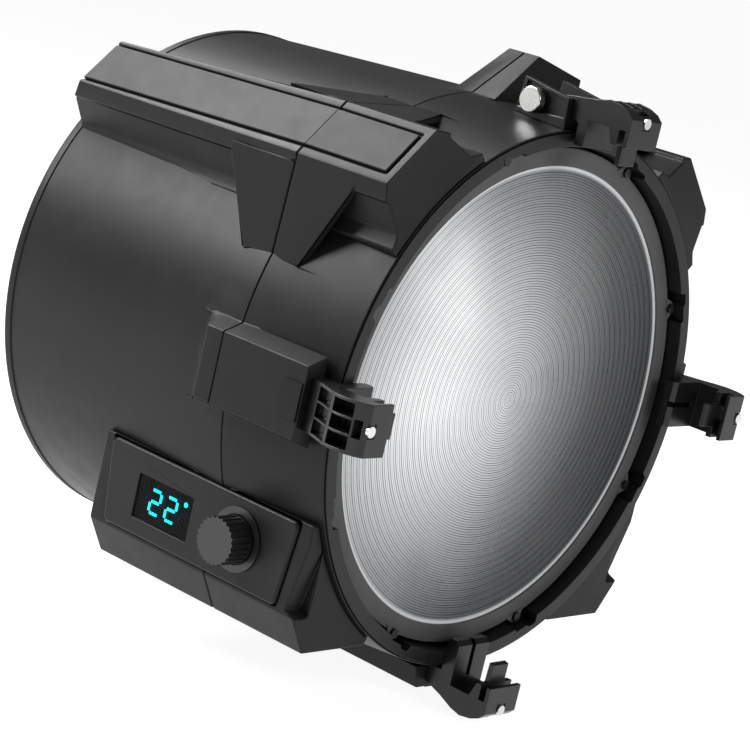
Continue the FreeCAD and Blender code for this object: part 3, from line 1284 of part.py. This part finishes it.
def build():
    front_shell()
    rear_shell()
    frame_ring()
    front_ring()
    lens_bezel()
    bezel_screws()
    fresnel_lens()
    lens_gasket()
    for name, turn in (("left", -S["rail_angle"]), ("right", S["rail_angle"])):
        rail_front("%s_rail_front" % name, turn)
        rail_rear("%s_rail_rear" % name, turn)
        rail_insert_front("%s_rail_insert_front" % name, turn)
        rail_insert_rear("%s_rail_insert_rear" % name, turn)
    for name, turn in (("left", -90.0), ("right", 90.0), ("bottom", 180.0)):
        bracket("%s_bracket" % name, turn)
        plunger("%s_plunger" % name, turn)
    fixing_covers()
    latch_base()
    latch_arm()
    latch_pin()
    latch_spring()
    plunger("top_plunger", None)
    for name, sign in (("control_box", -1), ("driver_box", 1)):
        box_half("%s_front" % name, sign, S["box_front_depth"], seam - S["seam_gap"] / 2)
        box_half("%s_rear" % name, sign, seam + S["seam_gap"] / 2, S["box_rear_depth"])
    panel("control_panel", -1, True)
    panel("driver_panel", 1, False)
    display_window()
    display_digits()
    display_module()
    control_board()
    encoder_body()
    encoder_plunger()
    encoder_shaft()
    knob()
    knob_collar()
    rear_cover()
    coupling_ring()
    screw_set("cover_screws", cover_screw_place, S["cover_screw_radius"], S["cover_screw_head"],
              at(cover_rear), S["cover_screw_count"])
    screw_set("coupling_screws", S["coupling_pitch_radius"], S["coupling_screw_radius"], S["coupling_screw_head"],
              at(cover_rear + S["coupling_flange"]), S["cover_screw_count"])
    contact_block()
    contact_pins()
    optics_plate()
    guide_rods()
    carriage()
    slide_bushes()
    drive_nut()
    lens_cell()
    zoom_lens()
    screw_bearing()
    lead_screw()
    zoom_motor()
    home_switch()


def write_out():
    """Check every object, then write one file for each piece."""
    for piece in pieces:
        piece.place()
    doc.recompute()
    for thing in doc.Objects:
        if "Invalid" in thing.State or "Error" in thing.State:
            raise ValueError("%s (%s) failed: %s" % (thing.Name, thing.Label, thing.State))
    os.makedirs("parts", exist_ok=True)
    for piece in pieces:
        shape = piece.body.Shape
        if shape.isNull() or not shape.isValid() or not shape.Solids:
            raise ValueError("%s has no sound shape" % piece.body.Label)
        shape.exportStep("parts/%s.step" % piece.body.Label)
        print("%-24s %2d solids  %9.1f mm3" % (piece.body.Label, len(shape.Solids), shape.Volume))


build()
write_out()
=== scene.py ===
# %% [markdown]
# # A lens head for a studio spotlight, dressed in Blender
# The head is a drum about 400 mm across with a stepped lens in front, two long rails on its shoulders,
# four hooked brackets round the lens and a small control box with a knob and a lit display. The solids
# come from the CAD frame, which never moves. Here they get soft edges, fine shapes and finishes.

# %% Load the frame
import json
import math

import bpy
from mathutils import Matrix, Vector

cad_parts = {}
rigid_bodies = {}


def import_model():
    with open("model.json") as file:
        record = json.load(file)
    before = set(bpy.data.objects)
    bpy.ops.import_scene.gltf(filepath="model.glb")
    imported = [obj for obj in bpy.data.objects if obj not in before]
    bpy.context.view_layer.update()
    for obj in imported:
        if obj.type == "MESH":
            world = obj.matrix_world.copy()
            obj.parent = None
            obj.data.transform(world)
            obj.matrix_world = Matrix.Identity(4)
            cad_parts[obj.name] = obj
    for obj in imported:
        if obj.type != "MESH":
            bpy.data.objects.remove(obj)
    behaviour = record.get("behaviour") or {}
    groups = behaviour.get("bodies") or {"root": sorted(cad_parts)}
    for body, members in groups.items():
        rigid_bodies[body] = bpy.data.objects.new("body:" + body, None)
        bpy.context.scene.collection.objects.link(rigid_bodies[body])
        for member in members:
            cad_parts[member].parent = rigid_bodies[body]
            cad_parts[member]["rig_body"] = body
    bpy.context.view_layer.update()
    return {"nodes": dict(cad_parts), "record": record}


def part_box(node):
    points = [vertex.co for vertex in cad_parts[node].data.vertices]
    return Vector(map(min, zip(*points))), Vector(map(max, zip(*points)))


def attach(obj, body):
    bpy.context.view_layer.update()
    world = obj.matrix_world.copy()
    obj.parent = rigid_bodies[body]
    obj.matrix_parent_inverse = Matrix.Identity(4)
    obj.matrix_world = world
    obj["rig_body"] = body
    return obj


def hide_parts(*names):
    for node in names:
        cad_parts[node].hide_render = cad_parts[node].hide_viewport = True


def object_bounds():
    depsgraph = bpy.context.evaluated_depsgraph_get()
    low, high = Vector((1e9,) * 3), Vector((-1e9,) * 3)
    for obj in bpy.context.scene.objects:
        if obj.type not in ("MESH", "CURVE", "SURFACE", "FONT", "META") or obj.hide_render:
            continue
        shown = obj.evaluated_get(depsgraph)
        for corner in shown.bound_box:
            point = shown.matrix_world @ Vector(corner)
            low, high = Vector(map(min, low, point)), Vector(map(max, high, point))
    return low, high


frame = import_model()
nodes = frame["nodes"]
MM = 0.001

# %% [markdown]
# Places along the head are counted as depth behind the front face of the black ring, as a maker would
# measure them with a rule. The ring's own box gives that face, so nothing here depends on a copied
# number.

# %% Where the front face is
front_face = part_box("front_ring")[0].y
ring_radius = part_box("front_ring")[1].z


def at(depth):
    """Y in metres of a place this many millimetres behind the front face."""
    return front_face + depth * MM


print("front face at y =", round(front_face, 4), "ring radius", round(ring_radius, 4))

# %% [markdown]
# Operators act on whatever is selected, and a fresh import leaves everything selected. So each job
# starts by selecting nothing, and then picks the one object it needs.

# %% Helpers for selecting


def take(piece):
    """Select one object only and make it active."""
    bpy.ops.object.select_all(action="DESELECT")
    piece.select_set(True)
    bpy.context.view_layer.objects.active = piece
    return piece


def edit(piece, kind="FACE"):
    """Open a piece for editing with nothing selected."""
    take(piece)
    bpy.ops.object.mode_set(mode="EDIT")
    bpy.ops.mesh.select_mode(type=kind)
    bpy.ops.mesh.select_all(action="DESELECT")


def close(piece, angle=35):
    """Leave edit mode, settle the object at the origin and smooth all but its sharp edges."""
    if bpy.context.mode != "OBJECT":
        bpy.ops.object.mode_set(mode="OBJECT")
    take(piece)
    bpy.ops.object.transform_apply(location=True, rotation=True, scale=True)
    bpy.ops.object.shade_smooth_by_angle(angle=math.radians(angle))
    return piece


print("helpers ready")

# %% [markdown]
# Moulded black plastic is never one flat colour. Light catches a fine spark-eroded grain, and the gloss
# wanders a little where hands and mould flow have been. Two noises do that: a broad one for colour and
# gloss, and a fine one for the grain. Both read Object coordinates, so they stay put on the piece in
# every view.

# %% A moulded plastic


def shader(name):
    """A new material with its shader, its tree and object coordinates."""
    made = bpy.data.materials.new(name)
    made.use_nodes = True
    tree = made.node_tree
    surface = tree.nodes["Principled BSDF"]
    where = tree.nodes.new("ShaderNodeTexCoord").outputs["Object"]
    return made, tree, surface, where


def noise(tree, where, scale, detail=4.0, rough=0.55):
    grain = tree.nodes.new("ShaderNodeTexNoise")
    grain.inputs["Scale"].default_value = scale
    grain.inputs["Detail"].default_value = detail
    grain.inputs["Roughness"].default_value = rough
    tree.links.new(where, grain.inputs["Vector"])
    return grain.outputs["Fac"]


def ramp(tree, value, low, high, start=0.3, stop=0.7):
    """A colour ramp from low to high over part of the value's range."""
    blend = tree.nodes.new("ShaderNodeValToRGB")
    blend.color_ramp.elements[0].position = start
    blend.color_ramp.elements[1].position = stop
    blend.color_ramp.elements[0].color = tuple(low) + (1.0,)
    blend.color_ramp.elements[1].color = tuple(high) + (1.0,)
    tree.links.new(value, blend.inputs["Fac"])
    return blend.outputs["Color"]


def spread(tree, value, low, high):
    """The value's middle range stretched from low to high."""
    stretch = tree.nodes.new("ShaderNodeMapRange")
    stretch.inputs["From Min"].default_value = 0.3
    stretch.inputs["From Max"].default_value = 0.7
    stretch.inputs["To Min"].default_value = low
    stretch.inputs["To Max"].default_value = high
    tree.links.new(value, stretch.inputs["Value"])
    return stretch.outputs["Result"]


def bump(tree, surface, height, strength, distance):
    lift = tree.nodes.new("ShaderNodeBump")
    lift.inputs["Strength"].default_value = strength
    lift.inputs["Distance"].default_value = distance
    tree.links.new(height, lift.inputs["Height"])
    tree.links.new(lift.outputs["Normal"], surface.inputs["Normal"])


def moulded(name, shade, gloss, grain=2600.0, depth=0.00005, tint=(1.0, 1.0, 1.03), shine=0.16):
    """Satin plastic of a shade, with a fine moulded grain."""
    made, tree, surface, where = shader(name)
    broad = noise(tree, where, 14.0)
    colour = [shade * part for part in tint]
    tree.links.new(ramp(tree, broad, [part * 0.86 for part in colour], [part * 1.14 for part in colour]),
                   surface.inputs["Base Color"])
    wander = 0.035
    tree.links.new(spread(tree, noise(tree, where, 60.0), gloss - wander, gloss + wander),
                   surface.inputs["Roughness"])
    surface.inputs["Specular IOR Level"].default_value = shine
    bump(tree, surface, noise(tree, where, grain, 2.0), 0.35, depth)
    return made


shell_plastic = moulded("shell_plastic", 0.0105, 0.4)
insert_plastic = moulded("insert_plastic", 0.009, 0.46)
ring_plastic = moulded("ring_plastic", 0.0055, 0.38, shine=0.3)
bracket_plastic = moulded("bracket_plastic", 0.005, 0.3, shine=0.45)
panel_plastic = moulded("panel_plastic", 0.0085, 0.4, shine=0.22)
bezel_plastic = moulded("bezel_plastic", 0.07, 0.42)
dark_plastic = moulded("dark_plastic", 0.02, 0.5)
knob_rubber = moulded("knob_rubber", 0.006, 0.32, grain=3200.0, shine=0.6)
gasket_rubber = moulded("gasket_rubber", 0.016, 0.7, grain=1800.0, depth=0.0001)
print("plastics:", len(bpy.data.materials))

# %% [markdown]
# Turned steel and brass carry fine tool marks that run round the piece. Anodised alloy is duller and a
# little mottled. Each metal is a metallic shader with streaked roughness and a faint bump.

# %% Metals


def metal(name, colour, gloss, streak=(400.0, 400.0, 400.0), depth=0.00002):
    made, tree, surface, where = shader(name)
    surface.inputs["Metallic"].default_value = 1.0
    stretch = tree.nodes.new("ShaderNodeMapping")
    stretch.inputs["Scale"].default_value = streak
    tree.links.new(where, stretch.inputs["Vector"])
    marks = noise(tree, stretch.outputs["Vector"], 3.0)
    tree.links.new(ramp(tree, marks, [part * 0.85 for part in colour], colour),
                   surface.inputs["Base Color"])
    tree.links.new(spread(tree, marks, gloss - 0.06, gloss + 0.06), surface.inputs["Roughness"])
    bump(tree, surface, marks, 0.3, depth)
    return made


bright_steel = metal("bright_steel", (0.78, 0.77, 0.75), 0.24, (90.0, 600.0, 90.0))
black_steel = metal("black_steel", (0.05, 0.05, 0.052), 0.38)
turned_brass = metal("turned_brass", (0.72, 0.53, 0.25), 0.3, (80.0, 700.0, 80.0))
black_alloy = metal("black_alloy", (0.06, 0.06, 0.063), 0.5)
coupling_alloy = metal("coupling_alloy", (0.36, 0.36, 0.37), 0.42, (60.0, 500.0, 60.0))
motor_paint = moulded("motor_paint", 0.03, 0.35, grain=900.0)
print("materials:", len(bpy.data.materials))

# %% [markdown]
# Three see-through or lit finishes are left. The display window is smoky and polished, the figures
# behind it glow, and the moving lens inside is clear glass. A faint unevenness keeps each from looking
# drawn.

# %% Window, figures, glass and board


def glassy(name, colour, gloss, through, bend=1.49):
    made, tree, surface, where = shader(name)
    surface.inputs["Transmission Weight"].default_value = through
    surface.inputs["IOR"].default_value = bend
    haze = noise(tree, where, 120.0)
    tree.links.new(ramp(tree, haze, [part * 0.94 for part in colour], colour),
                   surface.inputs["Base Color"])
    tree.links.new(spread(tree, haze, gloss, gloss + 0.03), surface.inputs["Roughness"])
    return made


def lit(name, colour, power):
    made, tree, surface, where = shader(name)
    shade = ramp(tree, noise(tree, where, 500.0), [part * 0.85 for part in colour], colour)
    tree.links.new(shade, surface.inputs["Base Color"])
    tree.links.new(shade, surface.inputs["Emission Color"])
    surface.inputs["Emission Strength"].default_value = power
    return made


smoky_window = glassy("smoky_window", (0.34, 0.36, 0.38), 0.02, 1.0, bend=1.12)
clear_glass = glassy("clear_glass", (0.92, 0.95, 0.96), 0.02, 1.0)
lit_figures = lit("lit_figures", (0.008, 0.62, 0.66), 5.0)
green_board = moulded("green_board", 0.05, 0.35, grain=700.0, tint=(0.25, 1.6, 0.6))
print("materials:", len(bpy.data.materials))

# %% [markdown]
# Every solid takes a finish by its name. A small table says which finish goes with which material slot
# of the record, and each solid's slot comes from the record too.

# %% Give every solid its finish
FINISH = {
    "shell": shell_plastic, "insert": insert_plastic, "ring": ring_plastic, "bracket": bracket_plastic,
    "bezel": bezel_plastic, "black_screw": black_steel, "lens": clear_glass, "zoom_glass": clear_glass,
    "gasket": gasket_rubber, "frame_alloy": black_alloy, "coupling": coupling_alloy,
    "bright_steel": bright_steel,
    "bearing_brass": turned_brass, "panel": panel_plastic, "window": smoky_window, "digits": lit_figures,
    "dark_part": dark_plastic, "board": green_board, "knob": knob_rubber, "motor": motor_paint}
slot_of = {entry["node"]: entry["material_slot"] for entry in frame["record"]["subparts"]}


def dress(piece, finish):
    """Put one finish on a piece."""
    piece.data.materials.clear()
    piece.data.materials.append(finish)
    return piece


for name, node in nodes.items():
    dress(node, FINISH[slot_of[name]])
print("dressed", len(nodes), "solids")

# %% [markdown]
# A mould has no knife edges: each corner is rounded by half a millimetre or more, and that small round
# is what catches the light. The CAD solid keeps its sharp corners, so a copy stands in for it. The
# copy's loose triangles are merged, flat areas become single faces, and a bevel rounds every edge that
# turns sharply. Normals weighted by area keep the flats flat beside the narrow rounds.

# %% Rounded copies of the moulded solids
ROUND_SEGMENTS = 2
SHARP_TURN = 28
MERGE = 0.000004


def rounded(name, width, flat):
    """A copy of a solid with its sharp edges rounded by width, in millimetres; flat is in degrees."""
    source = nodes[name]
    copy = bpy.data.objects.new(name + "_soft", source.data.copy())
    bpy.context.scene.collection.objects.link(copy)
    edit(copy, "VERT")
    bpy.ops.mesh.select_all(action="SELECT")
    bpy.ops.mesh.remove_doubles(threshold=MERGE)
    bpy.ops.mesh.dissolve_limited(angle_limit=math.radians(flat))
    bpy.ops.object.mode_set(mode="OBJECT")
    edge = copy.modifiers.new("edge", "BEVEL")
    edge.width = width * MM
    edge.segments = ROUND_SEGMENTS
    edge.limit_method = "ANGLE"
    edge.angle_limit = math.radians(SHARP_TURN)
    edge.use_clamp_overlap = False
    edge.miter_outer = "MITER_ARC"
    bpy.ops.object.modifier_apply(modifier="edge")
    close(copy, 40)
    even = copy.modifiers.new("even", "WEIGHTED_NORMAL")
    even.keep_sharp = True
    bpy.ops.object.modifier_apply(modifier="even")
    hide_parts(name)
    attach(copy, source["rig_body"])
    return copy


ROUND_WALLS = ("front_shell", "rear_shell", "front_ring", "lens_bezel", "rear_cover", "coupling_ring")
EDGES = {
    "front_shell": 0.8, "rear_shell": 0.8, "front_ring": 0.5, "lens_bezel": 0.4,
    "control_panel": 0.7, "driver_panel": 0.7,
    "control_box_front": 1.2, "control_box_rear": 1.2, "driver_box_front": 1.2, "driver_box_rear": 1.2,
    "left_rail_front": 1.2, "left_rail_rear": 1.2, "right_rail_front": 1.2, "right_rail_rear": 1.2,
    "left_bracket": 0.35, "right_bracket": 0.35, "bottom_bracket": 0.35,
    "latch_arm": 0.35, "latch_base": 0.4,
    "coupling_ring": 0.5, "contact_block": 0.6, "latch_pin": 0.8, "rear_cover": 0.4}
soft = {}
for name, width in EDGES.items():
    soft[name] = rounded(name, width, flat=0.05 if name in ROUND_WALLS else 0.6)
print("rounded", len(soft), "solids, faces:", sum(len(piece.data.polygons) for piece in soft.values()))

# %% [markdown]
# The lens is the heart of the head. It is a flat disc cut into more than a hundred concentric steps,
# each a thin slice of a thick bulging lens. One half-profile is drawn by extruding a single point out
# along the radius in saw teeth, and spinning that line once round the optical axis makes the whole
# disc.

# %% The stepped lens
LENS_EDGE = 174.6
DISC_EDGE = 178.6
DISC_BACK = 21.1
STEP = 1.45
RING_PITCH = 1.9
SPIN_MERGE = 0.000005


def stepped_profile():
    """Points (radius, depth) out from the middle, steeper towards the rim, and back along the rear."""
    points = [(0.0, 11.6)]
    count = int(LENS_EDGE / STEP)
    for step in range(1, count):
        radius = step * STEP
        slope = 0.25 + 0.5 * radius / LENS_EDGE
        base = 11.7 + 1.3 * (radius / LENS_EDGE) ** 2
        points.append((radius - 0.12, base + slope * 0.5))
        points.append((radius, base - slope * 0.5))
    points += [(LENS_EDGE, 13.1), (DISC_EDGE, 13.25), (DISC_EDGE, DISC_BACK), (0.0, DISC_BACK)]
    return points


def spun(name, points, steps):
    """Extrude a line through the points (radius, depth) and spin it round the optical axis."""
    bpy.ops.object.select_all(action="DESELECT")
    bpy.ops.mesh.primitive_plane_add(size=0.001, location=(0, at(points[0][1]), points[0][0] * MM))
    piece = bpy.context.object
    piece.name = name
    edit(piece, "VERT")
    bpy.ops.mesh.select_all(action="SELECT")
    bpy.ops.mesh.merge(type="CENTER")
    for before, after in zip(points, points[1:]):
        move = (0, (after[1] - before[1]) * MM, (after[0] - before[0]) * MM)
        bpy.ops.mesh.extrude_region_move(TRANSFORM_OT_translate={"value": move})
    bpy.ops.mesh.select_all(action="SELECT")
    bpy.ops.mesh.spin(steps=steps, angle=2 * math.pi, center=(0, 0, 0), axis=(0, 1, 0))
    bpy.ops.mesh.select_all(action="SELECT")
    bpy.ops.mesh.remove_doubles(threshold=SPIN_MERGE)
    bpy.ops.mesh.normals_make_consistent(inside=False)
    return close(piece)


lens = spun("stepped_lens", stepped_profile(), 240)
take(lens)
bpy.ops.object.shade_smooth_by_angle(angle=math.radians(12))
print("lens faces:", len(lens.data.polygons))

# %% [markdown]
# Steps this fine scatter the studio light, so the real lens reads as bright frosted ice with fine dark
# rings. Here the lamps don't make that look: it is painted into the colour. The glass gets a pale
# colour, and the dark rings are painted shade of the steps, a wave on the distance from the axis,
# sharpened to thin lines. They lie a little wider apart than the steps themselves. The glass is bright
# at the left and turns
# grey towards the right: that is painted shade, a broad soft fall round a place on the left. Round the
# rim an even mid-grey band is painted in place of the rings and the shade. The glass also glows faintly
# in the
# same colour: painted light that keeps the bright part bright.

# %% The lens finish, with painted light and shade


def painted_lens_look():
    made, tree, surface, where = shader("stepped_glass_painted_light")
    new, link = tree.nodes.new, tree.links.new

    def math_node(kind, *values):
        made_node = new("ShaderNodeMath")
        made_node.operation = kind
        for socket, value in zip(made_node.inputs, values):
            if hasattr(value, "links"):
                link(value, socket)
            else:
                socket.default_value = value
        return made_node.outputs["Value"]

    def length(first, second):
        return math_node("SQRT", math_node("ADD", math_node("MULTIPLY", first, first),
                                           math_node("MULTIPLY", second, second)))

    parts = new("ShaderNodeSeparateXYZ")
    link(where, parts.inputs["Vector"])
    across, rise = parts.outputs["X"], parts.outputs["Z"]
    reach = length(across, rise)
    # Painted shade of the steps: thin dark rings, a wave on the distance from the axis.
    wave = math_node("SINE", math_node("MULTIPLY", reach, 2 * math.pi / (RING_PITCH * MM)))
    lines = ramp(tree, math_node("MULTIPLY_ADD", wave, 0.5, 0.5), (0.2, 0.2, 0.21), (0.84, 0.85, 0.86),
                 0.0, 0.42)
    # Painted shade: bright round a place on the left, falling to grey outwards.
    painted_light_x, painted_light_z = -0.5 * LENS_EDGE * MM, 0.08 * LENS_EDGE * MM
    away = length(math_node("SUBTRACT", across, painted_light_x), math_node("SUBTRACT", rise, painted_light_z))
    shade = ramp(tree, math_node("MULTIPLY", away, 0.62 / (LENS_EDGE * MM)), (0.98, 0.98, 0.98),
                 (0.09, 0.092, 0.096), 0.08, 0.95)
    falls = shade.node.color_ramp
    for place, level in ((0.32, 0.6), (0.5, 0.34), (0.7, 0.16)):
        falls.elements.new(place).color = (level, level * 1.01, level * 1.02, 1.0)
    # A plain mid-grey band is painted round the rim, in place of the rings and the painted shade.
    rim = ramp(tree, math_node("MULTIPLY", reach, 1.0 / (LENS_EDGE * MM)), (0, 0, 0), (1, 1, 1),
               0.972, 0.982)
    both = new("ShaderNodeMix")
    both.data_type, both.blend_type = "RGBA", "MULTIPLY"
    both.inputs["Factor"].default_value = 1.0
    link(lines, both.inputs["A"])
    link(shade, both.inputs["B"])
    edge = new("ShaderNodeMix")
    edge.data_type = "RGBA"
    link(rim, edge.inputs["Factor"])
    link(both.outputs["Result"], edge.inputs["A"])
    edge.inputs["B"].default_value = (0.5, 0.51, 0.52, 1.0)
    link(edge.outputs["Result"], surface.inputs["Base Color"])
    # The glass glows in its painted colour: painted light, not a lamp.
    link(edge.outputs["Result"], surface.inputs["Emission Color"])
    surface.inputs["Emission Strength"].default_value = 0.25
    link(spread(tree, noise(tree, where, 35.0), 0.24, 0.34), surface.inputs["Roughness"])
    surface.inputs["IOR"].default_value = 1.49
    return made


dress(lens, painted_lens_look())
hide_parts("fresnel_lens")
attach(lens, "head")
print("lens dressed")

# %% [markdown]
# Last come the room, the lights and the camera. The floor is one wide grey sheet that comes out white
# because it glows strongly, not because the lamps light it. Soft boxes stand high above, behind, at the
# left rear and in front, and the room is dim, so the black plastic keeps its depth.

# %% Studio
low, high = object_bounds()
bpy.ops.object.select_all(action="DESELECT")
bpy.ops.mesh.primitive_plane_add(size=80.0, location=(0, 0, low.z - 0.002))
floor = bpy.context.object
floor.name = "studio_floor"
pale, tree, surface, where = shader("pale_floor")
sweep = ramp(tree, noise(tree, where, 2.0), (0.24, 0.24, 0.24), (0.28, 0.28, 0.28))
tree.links.new(sweep, surface.inputs["Base Color"])
surface.inputs["Roughness"].default_value = 0.9
surface.inputs["Emission Color"].default_value = (1, 1, 1, 1)
surface.inputs["Emission Strength"].default_value = 0.92
dress(floor, pale)

world = bpy.data.worlds.new("studio")
world.use_nodes = True
world.node_tree.nodes["Background"].inputs["Color"].default_value = (1, 1, 1, 1)
world.node_tree.nodes["Background"].inputs["Strength"].default_value = 0.12
bpy.context.scene.world = world
bpy.context.scene.view_settings.view_transform = "Standard"


def soft_light(name, place, target, side, power):
    """A square soft box that looks at a target."""
    lamp = bpy.data.lights.new(name, "AREA")
    lamp.size = side
    lamp.energy = power
    made = bpy.data.objects.new(name, lamp)
    made.location = place
    made.rotation_euler = (Vector(target) - Vector(place)).to_track_quat("-Z", "Y").to_euler()
    bpy.context.scene.collection.objects.link(made)
    return made


middle = (0, -0.17, 0)
soft_light("key", (-1.0, 0.3, 1.9), middle, 0.8, 30)
soft_light("back", (0.0, 1.5, 1.9), middle, 1.1, 62)
soft_light("left", (-1.3, 1.05, 1.1), middle, 0.8, 46)
soft_light("front_fill", (0.4, -2.4, 0.9), middle, 0.9, 24)
print("lights:", len(bpy.data.lights))

# %% Camera
lens_view = bpy.data.cameras.new("camera")
lens_view.lens = 116.633
lens_view.sensor_width = 36.0
camera = bpy.data.objects.new("camera", lens_view)
right = Vector((0.65179381, -0.72516348, 0.22204225))
up = Vector((0.00668203, 0.29825846, 0.95446175))
forward = Vector((0.75836679, 0.62062857, -0.19924858))
turned = Matrix((right, up, -forward)).transposed().to_4x4()
camera.matrix_world = Matrix.Translation((-1.39517, at(-1003.22), 0.34544)) @ turned
bpy.context.scene.collection.objects.link(camera)
bpy.context.scene.camera = camera
print("camera", [round(v, 3) for v in camera.location])
